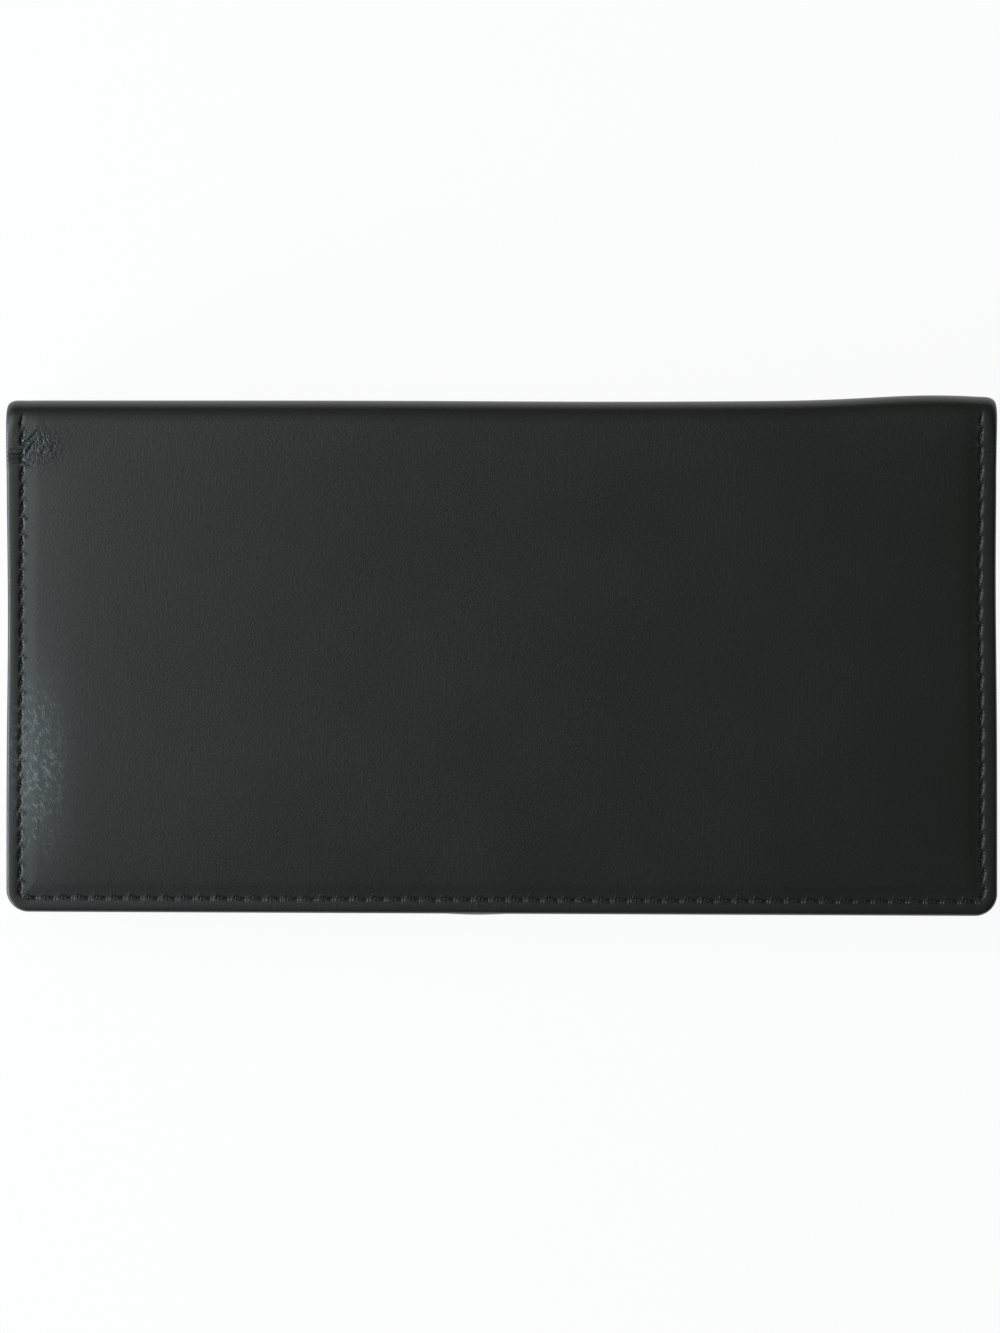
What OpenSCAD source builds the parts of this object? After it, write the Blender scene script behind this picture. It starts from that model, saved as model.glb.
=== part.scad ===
/* [Cover] */
// Width of the closed cover, along the fold
cover_w = 171.45; // [160:0.05:190]
// Height of the closed cover, from the fold to the free edge
cover_h = 88.9; // [84:0.1:100]
// Thickness of the closed cover, which is also the outer diameter of the fold
cover_t = 12.7; // [12.4:0.1:18]
// Radius of the two free corners, seen from the front
corner_r = 3.9; // [3.8:0.1:8]
// Thickness of the cover leather
leather_t = 0.9; // [0.7:0.05:1.1]
// Slit left between the fold and each panel, where the leather bends
fold_slit = 0.3; // [0.25:0.05:0.5]

/* [Turned hem and seam] */
// Width of the cover leather turned over to the inside, from the edge
hem_w = 6.6; // [5:0.1:9]
// Thickness of the pared, turned leather
hem_t = 0.6; // [0.45:0.05:0.8]
// Length of the ramps above the pocket mouths, where the edge thins towards the fold
edge_ramp = 3.4; // [2.5:0.1:4]
// Distance of the seam from the edge
seam_inset = 2.5; // [2.4:0.05:3.2]
// Width of the channel pressed by the seam
seam_channel_w = 0.8; // [0.65:0.05:1]
// Depth of the channel pressed by the seam
seam_channel_d = 0.3; // [0.2:0.05:0.35]
// Diameter of the sewing thread
thread_d = 0.56; // [0.4:0.02:0.6]

/* [Inner layers] */
// Thickness of the stiffening board
board_t = 0.5; // [0.3:0.05:0.8]
// Distance at which the board stops short of the fold
board_short = 2.2; // [1:0.1:5]
// Thickness of the woven lining
lining_t = 0.25; // [0.15:0.05:0.4]
// Clearance between a layer's edge and the turned edge round it
layer_clearance = 0.15; // [0.1:0.05:0.3]
// Clearance between the curved layers of the fold
curve_clearance = 0.04; // [0.02:0.01:0.06]

/* [Pockets] */
// Distance of the pocket mouths below the line where the fold starts
mouth_below_fold = 5.6; // [5.2:0.1:12]
// Free depth inside a pocket, from its lining to the lining of the panel
pocket_gap = 0.45; // [0.3:0.05:0.6]
// Thickness of the pocket leather
pocket_leather_t = 0.6; // [0.45:0.05:0.8]
// Width of the pocket leather turned under at its four edges
pocket_turn_w = 6; // [4:0.1:8]
// Distance of a mouth's stitching from the mouth
mouth_stitch_inset = 2; // [1.5:0.1:3]
// Depth of the channel pressed by the stitching of a thin edge
thin_channel_d = 0.2; // [0.1:0.05:0.25]

/* [Card slots] */
// Width of the card slots, for a card of 85.6 mm
card_slot_w = 91.5; // [88:0.1:96]
// Distance of the first slot's mouth below the mouth of the pocket that carries it
card_first = 4.2; // [3.4:0.1:8]
// Step from one slot's mouth to the next
card_step = 8.5; // [7:0.1:11]
// Thickness of a slot's leather, with its turned edge pressed flat
card_leather_t = 0.5; // [0.4:0.05:0.7]
// Room left for the cards behind a slot
card_gap = 0.15; // [0.1:0.05:0.3]
// Distance of the slots' stitching from their edges
card_stitch_inset = 1.6; // [1.2:0.1:2.5]

/* [Divider flap] */
// Distance of the clear flap's side edges from the turned hem
flap_side_gap = 4.1; // [1:0.1:20]
// Distance of the clear flap's free edge from the turned hem
flap_foot_gap = 5; // [1:0.1:20]
// Thickness of the clear sheet
flap_t = 0.35; // [0.25:0.05:0.5]
// Radius of the flap's free corners
flap_corner_r = 5; // [2:0.5:12]
// Clearance of the flap over the pocket and before its binding
flap_clearance = 0.3; // [0.25:0.05:0.4]
// Width of the binding that holds the flap
binding_w = 3; // [2.4:0.1:3]
// Thickness of the tape folded round the flap's held edge
binding_tape_t = 0.6; // [0.4:0.05:0.7]
// Distance of the binding below the line where the fold starts
binding_below_fold = 0.7; // [0.6:0.05:0.9]

/* [Hidden] */
$fn = 48;
// Overreach of a cut, and thickness of the slices that a ramp is hulled from
cut = 0.5;
slice = 0.01;

// Heights in a panel, counted from its outer face
board_z = leather_t;
lining_z = board_z + board_t;
gap_z = lining_z + lining_t;
pocket_lining_z = gap_z + pocket_gap;
pocket_leather_z = pocket_lining_z + lining_t;
pocket_z = pocket_leather_z + pocket_leather_t;
panel_t = pocket_z + hem_t;

// Turned edges are half round and as thick as the layers that they hold
rim_r = panel_t / 2;
fold_edge_t = leather_t + lining_t + hem_t;
fold_rim_r = fold_edge_t / 2;
layer_inset = rim_r + layer_clearance;

// Above the pocket the edge holds only the board and the lining
upper_t = gap_z + hem_t;
upper_rim_r = upper_t / 2;

// The fold is half a tube along the top, and each panel ends just below it
fold_r = cover_t / 2;
fold_y = cover_h / 2 - fold_r;
free_y = -cover_h / 2;
panel_top = fold_y - fold_slit;

// Pockets
mouth_y = fold_y - mouth_below_fold;
mouth_r = (pocket_leather_t + lining_t) / 2;
mouth_start = mouth_y - mouth_r;
ramp_top = mouth_y + edge_ramp;
pocket_side = cover_w / 2 - layer_inset;
pocket_margin = layer_inset + pocket_turn_w;
inside_side = cover_w / 2 - hem_w - layer_clearance;
inside_foot = free_y + hem_w + layer_clearance;

// Card slots, numbered from the fold
card_count = 3;
card_left = -inside_side;
card_ramp = 0.8;
card_overlap = card_step - card_ramp - 2 * layer_clearance;
card_raised_z = pocket_z + card_leather_t + card_gap;

// Divider flap
binding_top = fold_y - binding_below_fold;
binding_foot = binding_top - binding_w;
binding_t = 2 * binding_tape_t + flap_t;
flap_root_y = binding_foot - flap_clearance;
flap_root_z = gap_z + binding_tape_t;
flap_z = pocket_z + flap_clearance;
flap_root_flat = 0.2;
flap_ramp_end = mouth_y - 0.3;
flap_side = cover_w / 2 - hem_w - flap_side_gap;
flap_foot = free_y + hem_w + flap_foot_gap;

leather_colour = "#2b2e31";
pocket_colour = "#26282a";
lining_colour = "#1c1e21";
board_colour = "#8d8577";
thread_colour = "#141516";

// The front panel is built like the back panel and turned over
module as_front() {
    translate([0, 0, cover_t]) mirror([0, 0, 1]) children();
}

// A flat outline whose two corners at the foot are rounded
module round_foot_plan(side, foot, top, r) {
    translate([-side, foot + r]) square([2 * side, top - foot - r]);
    translate([-side + r, foot]) square([2 * (side - r), r]);
    for (s = [-1, 1]) translate([s * (side - r), foot + r]) circle(r);
}

// Outline of a panel's layer, set back from the three free edges
module panel_plan(inset, top) {
    round_foot_plan(cover_w / 2 - inset, free_y + inset, top, max(corner_r - inset, 0.5));
}

module at_both_ends() {
    for (s = [0, 1]) mirror([s, 0, 0]) children();
}

// A section carried straight up both sides: its x is the distance in from the edge
module up_both_sides(foot, top) {
    at_both_ends() translate([-cover_w / 2, top, 0]) rotate([90, 0, 0])
        linear_extrude(top - foot) children();
}

// A section carried round the three free edges, as high as the given top
module round_free_edges(top) {
    up_both_sides(free_y + corner_r, top) children();
    at_both_ends() translate([-cover_w / 2 + corner_r, free_y + corner_r, 0]) rotate([0, 0, 180])
        rotate_extrude(angle = 90) translate([corner_r, 0]) mirror([1, 0]) children();
    translate([-cover_w / 2 + corner_r, free_y, 0]) rotate([90, 0, 90])
        linear_extrude(cover_w - 2 * corner_r) children();
}

// A section carried round the fold from the back to the front: its x is the distance from the
// left end, and its y the depth below the outer face
module round_fold() {
    translate([-cover_w / 2, fold_y, fold_r]) rotate([0, 90, 0])
        rotate_extrude(angle = 180) translate([fold_r, 0]) rotate(90) children();
}

// A section in the y-z plane carried along x
module along_x(left, length) {
    translate([left, 0, 0]) rotate([90, 0, 90]) linear_extrude(length) children();
}

// Half round section of a turned edge, 2 r thick
module turned_edge_section(r) {
    intersection() {
        translate([r, r]) circle(r);
        square([r, 2 * r]);
    }
}

// The hollow left inside a turned edge, as wide as the leather allows
module edge_hollow_section(r) {
    translate([r, r]) circle(r - leather_t);
}

// A section turned over, to the face that lies at the given depth
module on_inner_face(depth) {
    translate([0, depth]) mirror([0, 1]) children();
}

// The channel that the seam presses into a face
module seam_channel_section() {
    translate([seam_inset - seam_channel_w / 2, -cut]) square([seam_channel_w, seam_channel_d + cut]);
}

// Sewing thread, half round, with its flat side at y = 0 and its round side towards -y
module thread_section() {
    intersection() {
        circle(thread_d / 2);
        translate([-thread_d, -thread_d]) square([2 * thread_d, thread_d]);
    }
}

// The seam's thread in its channel
module seam_thread_section(lift) {
    translate([seam_inset, seam_channel_d - lift]) thread_section();
}

// A straight stitch line on a face of the given height, from a to b
module stitch_line(a, b, height) {
    turn = atan2(b[1] - a[1], b[0] - a[0]);
    translate([a[0], a[1], height - thin_channel_d]) rotate([0, 0, turn]) rotate([90, 0, 90])
        linear_extrude(norm(b - a)) mirror([0, 1]) thread_section();
}

// The channel under a straight stitch line
module stitch_channel(a, b, height) {
    turn = atan2(b[1] - a[1], b[0] - a[0]);
    translate([a[0], a[1], height - thin_channel_d]) rotate([0, 0, turn])
        translate([-cut, -seam_channel_w / 2, 0]) cube([norm(b - a) + 2 * cut, seam_channel_w, cut]);
}

// Above the pocket mouth both side edges thin down. A ramp there is the hull of two thin slices:
// one of a first section, at the mouth, and one of a second section, at the top of the ramp
module edge_ramp(shift) {
    at_both_ends() hull() {
        at_side(mouth_y + shift) children(0);
        at_side(ramp_top + shift) children(1);
    }
}

module at_side(height) {
    translate([-cover_w / 2, height, 0]) rotate([90, 0, 0]) linear_extrude(slice) children();
}

module ramped_edges() {
    difference() {
        edge_ramp(0) {
            turned_edge_section(rim_r);
            union() {
                turned_edge_section(upper_rim_r);
                translate([upper_rim_r, 0]) square([rim_r - upper_rim_r, upper_t]);
            }
        }
        edge_ramp(0) {
            edge_hollow_section(rim_r);
            translate([upper_rim_r, leather_t]) square([rim_r, lining_t + board_t]);
        }
    }
    at_both_ends() along_x(-cover_w / 2 + rim_r, hem_w - rim_r) ramp_section(hem_t, 0);
}

// The sloping stretch of the inner face, from a depth below it to a rise above it
module ramp_section(depth, rise) {
    polygon([
        [mouth_y, panel_t - depth],
        [mouth_y, panel_t + rise],
        [ramp_top, upper_t + rise],
        [ramp_top, upper_t - depth]
    ]);
}

// Outer leather of a panel, turned over its three free edges
module panel_cover() {
    difference() {
        union() {
            linear_extrude(leather_t) panel_plan(rim_r, panel_top);
            translate([0, 0, pocket_z]) linear_extrude(hem_t) difference() {
                panel_plan(rim_r, mouth_y);
                translate([-cover_w / 2 + hem_w, free_y + hem_w]) square([cover_w - 2 * hem_w, cover_h]);
            }
            round_free_edges(mouth_y) difference() {
                turned_edge_section(rim_r);
                edge_hollow_section(rim_r);
            }
            ramped_edges();
            up_both_sides(ramp_top, panel_top) {
                difference() {
                    turned_edge_section(upper_rim_r);
                    edge_hollow_section(upper_rim_r);
                }
                translate([upper_rim_r, 0]) square([rim_r - upper_rim_r, leather_t]);
                translate([upper_rim_r, gap_z]) square([hem_w - upper_rim_r, hem_t]);
            }
        }
        round_free_edges(panel_top) seam_channel_section();
        round_free_edges(mouth_y) on_inner_face(panel_t) seam_channel_section();
        at_both_ends() along_x(-cover_w / 2 + seam_inset - seam_channel_w / 2, seam_channel_w)
            ramp_section(seam_channel_d, cut);
        up_both_sides(ramp_top, panel_top) on_inner_face(upper_t) seam_channel_section();
    }
}

module panel_stiffener() {
    translate([0, 0, board_z]) linear_extrude(board_t) panel_plan(layer_inset, fold_y - board_short);
}

module panel_lining() {
    translate([0, 0, lining_z]) linear_extrude(lining_t) panel_plan(layer_inset, panel_top);
}

// Thread of a panel's seam, on the outer face and on the turned hem, where it follows the ramps
module panel_seam_thread() {
    round_free_edges(panel_top) seam_thread_section(0);
    round_free_edges(mouth_y) on_inner_face(panel_t) seam_thread_section(0);
    edge_ramp(slice) {
        on_inner_face(panel_t) seam_thread_section(0);
        on_inner_face(upper_t) seam_thread_section(0);
    }
    up_both_sides(ramp_top, panel_top) on_inner_face(upper_t) seam_thread_section(0);
}

mouth_stitch = [
    [-inside_side, mouth_y - mouth_stitch_inset],
    [inside_side, mouth_y - mouth_stitch_inset]
];

// Pocket leather: its margins are turned under, at the mouth round a half round edge
module pocket() {
    difference() {
        union() {
            translate([0, 0, pocket_leather_z]) linear_extrude(pocket_leather_t)
                panel_plan(layer_inset, mouth_start);
            translate([0, 0, gap_z]) linear_extrude(pocket_leather_z - gap_z) difference() {
                panel_plan(layer_inset, mouth_start);
                translate([-cover_w / 2 + pocket_margin, free_y + pocket_margin])
                    square([cover_w - 2 * pocket_margin, cover_h]);
            }
            along_x(-pocket_side, 2 * pocket_side) intersection() {
                translate([mouth_start, pocket_lining_z + mouth_r]) circle(mouth_r);
                translate([mouth_start, pocket_lining_z]) square([mouth_r, 2 * mouth_r]);
            }
            along_x(-pocket_side, 2 * pocket_side)
                translate([mouth_start - pocket_turn_w, pocket_lining_z]) square([pocket_turn_w, lining_t]);
        }
        stitch_channel(mouth_stitch[0], mouth_stitch[1], pocket_z);
    }
}

module pocket_lining() {
    side = cover_w / 2 - pocket_margin - layer_clearance;
    foot = free_y + pocket_margin + layer_clearance;
    top = mouth_start - pocket_turn_w - layer_clearance;
    translate([-side, foot, pocket_lining_z]) cube([2 * side, top - foot, lining_t]);
}

module pocket_thread() {
    stitch_line(mouth_stitch[0], mouth_stitch[1], pocket_z);
}

function card_mouth(i) = mouth_y - card_first - i * card_step;
function card_foot(i) = i == card_count - 1 ? inside_foot : card_mouth(i + 1) - card_overlap;
function card_top_z(i) = (i == 0 ? pocket_z : card_raised_z) + card_leather_t;
function card_low_top_z() = pocket_z + card_leather_t;
function card_right() = card_left + card_slot_w;
// Where a slot that lies over the one above it comes down to the pocket
function card_step_down(i) = card_mouth(i) - card_overlap - layer_clearance;

// Section of one slot: a rounded mouth, and for all but the first a ramp down to the pocket
module card_section(i) {
    r = card_leather_t / 2;
    high = card_top_z(i) - card_leather_t;
    low = pocket_z;
    translate([card_mouth(i) - r, high + r]) intersection() {
        circle(r);
        translate([0, -r]) square([r, 2 * r]);
    }
    if (i == 0) translate([card_foot(i), high]) square([card_mouth(i) - r - card_foot(i), card_leather_t]);
    if (i > 0) polygon([
        [card_mouth(i) - r, high],
        [card_mouth(i) - r, high + card_leather_t],
        [card_step_down(i), high + card_leather_t],
        [card_step_down(i) - card_ramp, low + card_leather_t],
        [card_foot(i), low + card_leather_t],
        [card_foot(i), low],
        [card_step_down(i) - card_ramp, low],
        [card_step_down(i), high]
    ]);
}

// The stitch lines that show on one slot: below its mouth, and down both its sides
function card_lines(i) =
    let (
        left = card_left + card_stitch_inset,
        right = card_right() - card_stitch_inset,
        top = card_mouth(i) - card_stitch_inset,
        seen_foot = i == card_count - 1 ? card_step_down(i) : card_mouth(i + 1)
    )
    [
        [[left, top], [right, top]],
        for (x = [left, right]) [[x, top - seam_channel_w], [x, seen_foot + seam_channel_w]]
    ];

module card_slot(i) {
    difference() {
        along_x(card_left, card_slot_w) card_section(i);
        for (l = card_lines(i)) stitch_channel(l[0], l[1], card_top_z(i));
    }
}

// Below the ramp of the last slot its sides are sewn down to the foot
card_side_lines = [
    for (x = [card_left + card_stitch_inset, card_right() - card_stitch_inset])
        [[x, card_step_down(card_count - 1) - card_ramp - cut], [x, inside_foot + cut]]
];

module back_cover() {
    color(leather_colour) panel_cover();
}

module back_stiffener() {
    color(board_colour) panel_stiffener();
}

module back_lining() {
    color(lining_colour) panel_lining();
}

module check_pocket() {
    color(pocket_colour) pocket();
}

module check_pocket_lining() {
    color(lining_colour) pocket_lining();
}

module back_seam_thread() {
    color(thread_colour) panel_seam_thread();
}

module check_pocket_thread() {
    color(thread_colour) pocket_thread();
}

module front_cover() {
    color(leather_colour) as_front() panel_cover();
}

module front_stiffener() {
    color(board_colour) as_front() panel_stiffener();
}

module front_lining() {
    color(lining_colour) as_front() panel_lining();
}

module register_pocket() {
    color(pocket_colour) as_front() pocket();
}

module register_pocket_lining() {
    color(lining_colour) as_front() pocket_lining();
}

module front_seam_thread() {
    color(thread_colour) as_front() panel_seam_thread();
}

module register_pocket_thread() {
    color(thread_colour) as_front() pocket_thread();
}

module card_slot_upper() {
    color(pocket_colour) as_front() card_slot(0);
}

module card_slot_middle() {
    color(pocket_colour) as_front() card_slot(1);
}

module card_slot_lower() {
    color(pocket_colour) as_front() difference() {
        card_slot(2);
        for (l = card_side_lines) stitch_channel(l[0], l[1], card_low_top_z());
    }
}

module card_slot_thread() {
    color(thread_colour) as_front() {
        for (i = [0 : card_count - 1]) for (l = card_lines(i)) stitch_line(l[0], l[1], card_top_z(i));
        for (l = card_side_lines) stitch_line(l[0], l[1], card_low_top_z());
    }
}

// The leather's middle stretch, bent round the fold and turned over at both ends
module spine_cover() {
    color(leather_colour) difference() {
        union() {
            round_fold() translate([fold_rim_r, 0]) square([cover_w - 2 * fold_rim_r, leather_t]);
            at_both_ends() round_fold() turned_edge_section(fold_rim_r);
            at_both_ends() round_fold() translate([fold_rim_r, leather_t + lining_t])
                square([hem_w - fold_rim_r, hem_t]);
        }
        at_both_ends() round_fold() seam_channel_section();
        at_both_ends() round_fold() on_inner_face(fold_edge_t) seam_channel_section();
    }
}

module spine_lining() {
    inset = fold_rim_r + layer_clearance;
    color(lining_colour) round_fold() translate([inset, leather_t + curve_clearance])
        square([cover_w - 2 * inset, lining_t - 2 * curve_clearance]);
}

module spine_seam_thread() {
    color(thread_colour) at_both_ends() round_fold() {
        seam_thread_section(curve_clearance);
        on_inner_face(fold_edge_t) seam_thread_section(curve_clearance);
    }
}

binding_stitch_y = binding_foot + binding_w / 2;

// Tape folded round the held edge of the flap and sewn to the lining
module divider_binding() {
    r = binding_t / 2;
    color(leather_colour) difference() {
        along_x(-flap_side, 2 * flap_side) translate([binding_foot, gap_z]) {
            square([binding_w - r, binding_t]);
            translate([binding_w - r, r]) intersection() {
                circle(r);
                translate([0, -r]) square([r, 2 * r]);
            }
        }
        stitch_channel([-flap_side, binding_stitch_y], [flap_side, binding_stitch_y], gap_z + binding_t);
    }
}

module divider_binding_thread() {
    color(thread_colour)
        stitch_line([-flap_side, binding_stitch_y], [flap_side, binding_stitch_y], gap_z + binding_t);
}

// Clear sheet that parts the check from its copy: it leaves its binding, rises over the
// pocket's mouth and lies above the pocket
module divider_flap() {
    color("#b9c4cc", 0.5) intersection() {
        along_x(-flap_side, 2 * flap_side) polygon([
            [flap_root_y, flap_root_z],
            [flap_root_y, flap_root_z + flap_t],
            [flap_root_y - flap_root_flat, flap_root_z + flap_t],
            [flap_ramp_end, flap_z + flap_t],
            [flap_foot, flap_z + flap_t],
            [flap_foot, flap_z],
            [flap_ramp_end, flap_z],
            [flap_root_y - flap_root_flat, flap_root_z]
        ]);
        linear_extrude(panel_t + flap_t + cut) round_foot_plan(flap_side, flap_foot, fold_y, flap_corner_r);
    }
}

back_cover();
back_stiffener();
back_lining();
check_pocket();
check_pocket_lining();
back_seam_thread();
check_pocket_thread();
spine_cover();
spine_lining();
spine_seam_thread();
front_cover();
front_stiffener();
front_lining();
register_pocket();
register_pocket_lining();
front_seam_thread();
register_pocket_thread();
card_slot_upper();
card_slot_middle();
card_slot_lower();
card_slot_thread();
divider_binding();
divider_binding_thread();
divider_flap();
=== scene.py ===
import math

import bmesh
import bpy
import numpy as np
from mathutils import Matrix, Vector


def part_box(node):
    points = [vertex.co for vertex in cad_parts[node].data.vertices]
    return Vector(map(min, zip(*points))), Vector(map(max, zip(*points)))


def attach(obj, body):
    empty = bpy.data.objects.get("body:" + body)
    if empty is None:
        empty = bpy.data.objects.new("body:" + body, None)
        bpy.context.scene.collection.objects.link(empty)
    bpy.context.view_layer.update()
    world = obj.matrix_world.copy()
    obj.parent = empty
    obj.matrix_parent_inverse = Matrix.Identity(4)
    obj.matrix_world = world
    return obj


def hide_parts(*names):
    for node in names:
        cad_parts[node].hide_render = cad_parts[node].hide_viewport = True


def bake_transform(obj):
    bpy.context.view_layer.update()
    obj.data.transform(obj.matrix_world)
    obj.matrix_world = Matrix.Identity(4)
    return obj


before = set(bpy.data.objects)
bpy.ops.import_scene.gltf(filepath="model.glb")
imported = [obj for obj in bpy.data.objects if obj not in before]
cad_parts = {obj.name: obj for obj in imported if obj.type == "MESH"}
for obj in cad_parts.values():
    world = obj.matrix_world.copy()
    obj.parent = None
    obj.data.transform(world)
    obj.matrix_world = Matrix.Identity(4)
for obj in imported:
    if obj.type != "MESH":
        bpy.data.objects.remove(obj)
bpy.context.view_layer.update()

mm = 0.001  # sizes below are in millimetres, and meshes are written in metres


# A CAD node's lowest and highest corners, in millimetres
def nodeBox(node):
    return [np.array(corner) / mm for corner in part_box(node)]


frontLow, frontHigh = nodeBox("front_cover")
flapLow, flapHigh = nodeBox("divider_flap")
bindingLow, bindingHigh = nodeBox("divider_binding")

cover = {
    "width": float(frontHigh[0] - frontLow[0]),
    "thickness": float(frontHigh[2]),
    "panelThickness": float(frontHigh[2] - frontLow[2]),
    "foldEdgeThickness": 1.75,  # leather, lining and turned leather at the ends of the fold
    "foldSquareness": 3.0,  # power of the superellipse that the fold's section follows
    "cornerRadius": 3.9,
    "leather": 0.9,
    "board": 0.5,
    "lining": 0.25,
    "hemWidth": 6.6,
    "hemThickness": 0.6,
}
foldY = float(nodeBox("spine_cover")[0][1])  # where the flat panels end and the fold begins
freeY = float(frontLow[1])  # the free edge
foldRadius = cover["thickness"] / 2
foldStart = foldY - freeY  # both in unrolled height, from the free edge
foldTop = foldStart + foldRadius * math.pi / 2
halfWidth = cover["width"] / 2
panelRim = cover["panelThickness"] / 2
foldRim = cover["foldEdgeThickness"] / 2
cornerRadius = cover["cornerRadius"]

# How far in from the edge the rolled edge reaches before the face begins, and how square its section
# is: the power of a superellipse. The ends of the fold are rounder than the panels' edges.
roll = {"reach": 0.9, "power": 2.6, "foldReach": 1.7, "foldPower": 2.0}

seam = {
    "inset": 2.52,
    "pitch": 3.0,
    "crown": 1.24,  # inset of the margin's highest line
    "groove": 0.105,
    "marginPower": 1.7,
    "wall": 3.0,  # width of the groove's inner wall
    "leftDrift": 0.34,  # the left side is sewn this much further in near the fold
    "rightDrift": 0.30,  # and the right side this much, and more at mid height
    "rightWander": 0.14,
    "leftPull": 0.55,  # how much harder the left side's stitches press into the leather
}
seamRadius = cornerRadius - seam["inset"]  # of the seam round a corner
seamBend = seamRadius * math.pi / 2
seamSide = foldTop - cornerRadius  # length of the seam down one side
seamLength = 2 * (seamSide + seamBend) + 2 * (halfWidth - cornerRadius)
stitchCount = round(seamLength / seam["pitch"])
stitchPitch = seamLength / stitchCount

thread = {"diameter": 0.46, "length": 1.9, "slant": -9.0, "sunk": 0.22, "flatness": 0.85, "dip": 0.22, "proud": 0.04}

pillow = {"drop": 0.25, "rise": 0.5, "length": 7.5}  # the face swells from its seam to its middle

pockets = {"belowFold": 5.6, "leather": 0.6, "gap": 0.45, "turn": 6.0, "stitchInset": 2.0}
mouth = foldStart - pockets["belowFold"]  # unrolled height of the pockets' mouths
liningDepth = cover["leather"] + cover["board"] + cover["lining"]  # of the lining's visible face
pocketTopDepth = liningDepth + pockets["gap"] + cover["lining"] + pockets["leather"]

print("frame loaded: cover", [round(v, 2) for v in (cover["width"], cover["thickness"], foldStart, foldTop)])


# A smooth step: 0 below low, 1 above high, and a cubic in between
def smoothStep(value, low, high):
    t = np.clip((value - low) / (high - low), 0.0, 1.0)
    return t * t * (3.0 - 2.0 * t)


# The value that lies a share of the way from one to another
def between(start, end, share):
    return start + (end - start) * share


# A bell: 1 at the middle, falling as exp(-(distance / width) squared)
def bell(value, middle, width):
    return np.exp(-(((value - middle) / width) ** 2))


# The sum of some bells, each given as its height, middle and width
def bells(value, shapes):
    return sum(height * bell(value, middle, width) for height, middle, width in shapes)


# Repeatable gentle waviness: a few sines of fixed, unrelated wavelengths along both directions
def waviness(x, v, wavelength, phase=0.0):
    k = 2 * math.pi / wavelength
    return (
        np.sin(k * x + phase + 0.7 * np.sin(0.61 * k * v))
        + np.sin(0.73 * k * v + 1.3 * phase + 0.6 * np.sin(0.47 * k * x))
        + np.sin(0.55 * k * (x + v) + 2.1 * phase)
    ) / 3.0


# Half thickness of the turned edge at unrolled height v: thick where pocket and board are inside,
# then down to leather, lining and turned leather over the fold
def rimAt(v):
    withBoard = (liningDepth + cover["hemThickness"]) / 2
    thin = between(withBoard, foldRim, smoothStep(v, foldStart - 3.5, foldStart + 1.0))
    return between(panelRim, thin, smoothStep(v, mouth - 1.5, mouth + 2.5))


# Depth of the lining's visible face below the outer face: on the board, then on the leather
def liningFaceAt(v):
    onLeather = cover["leather"] + cover["lining"]
    return between(liningDepth, onLeather, smoothStep(v, foldStart - 3.0, foldStart + 0.5))


# How far the rolled edge reaches in at unrolled height v, and the power of its section there
def rollAt(v):
    end = smoothStep(v, foldStart - 1.5, foldStart + 3.5)
    return between(roll["reach"], roll["foldReach"], end), between(roll["power"], roll["foldPower"], end)


# How far further in than elsewhere the seam lies, as it wanders along the sides
def seamDrift(x, v):
    right = seam["rightDrift"] + seam["rightWander"] * bell(v, 54.0, 14.0)
    right = smoothStep(v, cornerRadius + 1, cornerRadius + 9) * right
    return np.where(x > 0, right, seam["leftDrift"] * smoothStep(v, 54.0, 76.0))


# What is left of the seam's relief at unrolled height v: the stitches pull less over the fold
def seamPull(v):
    return 1 - 0.85 * smoothStep(v, foldStart + 1.5, foldStart + 4.5)


# How hard each place's stitches press in the leather's bump: harder along the left side
def stitchPull(x, v):
    return seamPull(v) * (1 + seam["leftPull"] * smoothStep(-x, 78.0, 82.0))


# Distance in from the edge, d, and distance along the seam from its start at the top of the fold on
# the left, s. Beside a straight edge d is the plain distance; round a corner it is the corner radius
# less the distance from the corner's centre, and s grows with the angle. d is then less the seam's
# drift for what lies inside the margin's crown.
def seamCoordinates(x, v):
    fromSide = halfWidth - np.abs(x)
    cx, cv = fromSide - cornerRadius, v - cornerRadius
    inCorner = (cx < 0) & (cv < 0)
    angle = np.arctan2(-cv, np.where(inCorner, -cx, 1.0))
    d = np.where(inCorner, cornerRadius - np.hypot(cx, cv), np.minimum(fromSide, v))
    s = np.where(
        inCorner, seamSide + angle * 2 / math.pi * seamBend,
        np.where(fromSide <= v, foldTop - v, seamSide + seamBend + cx),
    )
    drift = seamDrift(x, v) * smoothStep(d, 0.9, 2.3)
    return d - drift, np.where(x > 0, seamLength - s, s)


# Points along the seam at distances s from its start: down the left side, round the corner, along
# the foot and up again, with the direction of travel at each
def seamPoints(s):
    mirrored = s > seamLength / 2
    t = np.where(mirrored, seamLength - s, s)
    angle = np.clip((t - seamSide) / seamRadius, 0, math.pi / 2)
    cx = cornerRadius - halfWidth
    drift = seamDrift(np.where(mirrored, 1.0, -1.0), foldTop - t) * (t < seamSide)
    x = np.where(t < seamSide, -halfWidth + seam["inset"] + drift, cx - seamRadius * np.cos(angle))
    v = np.where(t < seamSide, foldTop - t, cornerRadius - seamRadius * np.sin(angle))
    x = np.where(t > seamSide + seamBend, cx + (t - seamSide - seamBend), x)
    heading = angle - math.pi / 2
    return np.where(mirrored, -x, x), v, np.where(mirrored, -heading, heading)


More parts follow.
